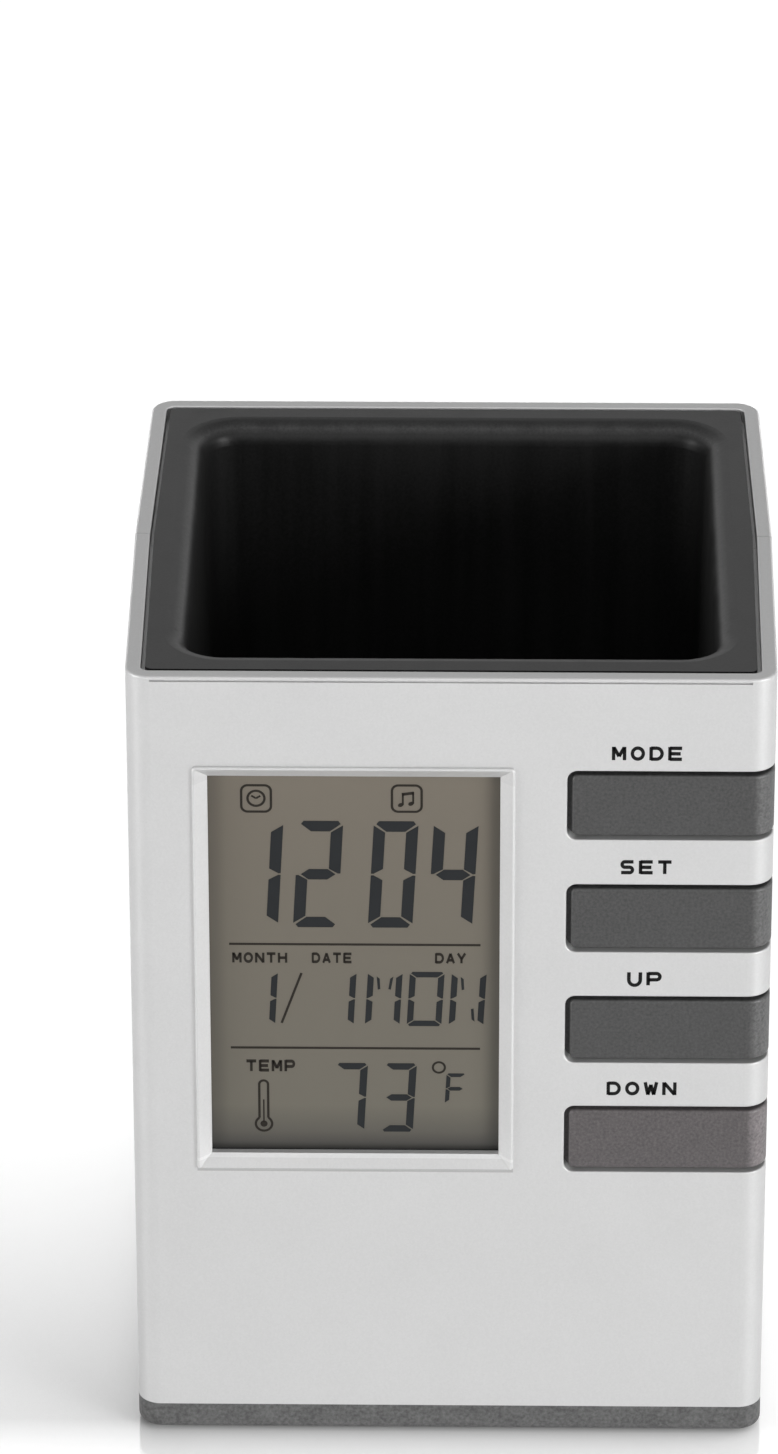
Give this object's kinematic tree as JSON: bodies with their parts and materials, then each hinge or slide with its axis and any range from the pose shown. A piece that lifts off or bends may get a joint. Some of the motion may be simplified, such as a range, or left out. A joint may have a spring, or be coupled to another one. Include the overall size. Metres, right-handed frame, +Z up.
{
  "type": "pen holder clock",
  "caption": "Square desk pen holder with a liquid-crystal clock display and push keys in its front wall.",
  "frame": {"origin": "centre of the bounding box, at the surface the feet stand on", "axes": "+X to the right seen from the front, +Y to the back, +Z up"},
  "size_m": [0.077, 0.0778, 0.1036],
  "materials": {
    "silver_shell": "moulded ABS, sprayed satin silver",
    "grey_trim": "moulded ABS, dark grey, fine matt grain",
    "grey_key": "moulded ABS, dark grey, smooth matt",
    "display_glass": "display glass under a matt polariser",
    "reflector_film": "matt grey-green reflector",
    "white_moulding": "plain moulded",
    "grey_rubber": "silicone, matt",
    "black_rubber": "matt",
    "green_board": "glass-fibre board with solder mask",
    "black_resin": "cast resin, glossy",
    "bright_steel": "nickel-plated",
    "brass_disc": "plain",
    "wire_cover": "PVC insulation",
    "cell_jacket": "printed sleeve over a steel can"
  },
  "bodies": {
    "case": {"front_shell": "silver_shell", "rear_shell": "silver_shell", "base_plate": "grey_trim", "pen_cup": "grey_trim", "lcd_front_glass": "display_glass", "lcd_rear_glass": "display_glass", "lcd_reflector": "reflector_film", "lcd_frame": "white_moulding", "zebra_connectors": "grey_rubber", "rubber_keypad": "grey_rubber", "front_left_foot": "black_rubber", "front_right_foot": "black_rubber", "rear_left_foot": "black_rubber", "rear_right_foot": "black_rubber", "circuit_board": "green_board", "clock_chip": "black_resin", "thermistor": "black_resin", "quartz_crystal": "bright_steel", "board_screws": "bright_steel", "base_screws": "bright_steel", "positive_contact": "bright_steel", "negative_contact": "bright_steel", "bridge_contact": "bright_steel", "buzzer_disc": "brass_disc", "buzzer_leads": "wire_cover", "battery_leads": "wire_cover", "battery_upper": "cell_jacket", "battery_lower": "cell_jacket"},
    "mode_key": {"mode_button": "grey_key"},
    "set_key": {"set_button": "grey_key"},
    "up_key": {"up_button": "grey_key"},
    "down_key": {"down_button": "grey_key"},
    "door": {"battery_door": "silver_shell"}
  },
  "joints": [
    {"name": "mode_press", "type": "slide", "parent": "case", "child": "mode_key", "axis": [0, 1, 0], "range_m": [0, 0.0008], "stiffness_N_per_m": 600, "deforming": ["rubber_keypad"]},
    {"name": "set_press", "type": "slide", "parent": "case", "child": "set_key", "axis": [0, 1, 0], "range_m": [0, 0.0008], "stiffness_N_per_m": 600, "deforming": ["rubber_keypad"]},
    {"name": "up_press", "type": "slide", "parent": "case", "child": "up_key", "axis": [0, 1, 0], "range_m": [0, 0.0008], "stiffness_N_per_m": 600, "deforming": ["rubber_keypad"]},
    {"name": "down_press", "type": "slide", "parent": "case", "child": "down_key", "axis": [0, 1, 0], "range_m": [0, 0.0008], "stiffness_N_per_m": 600, "deforming": ["rubber_keypad"]},
    {"name": "door_hinge", "type": "hinge", "parent": "case", "child": "door", "pos_m": [0, 0.037, 0.0089], "axis": [-1, 0, 0], "range_deg": [0, 90]}
  ]
}
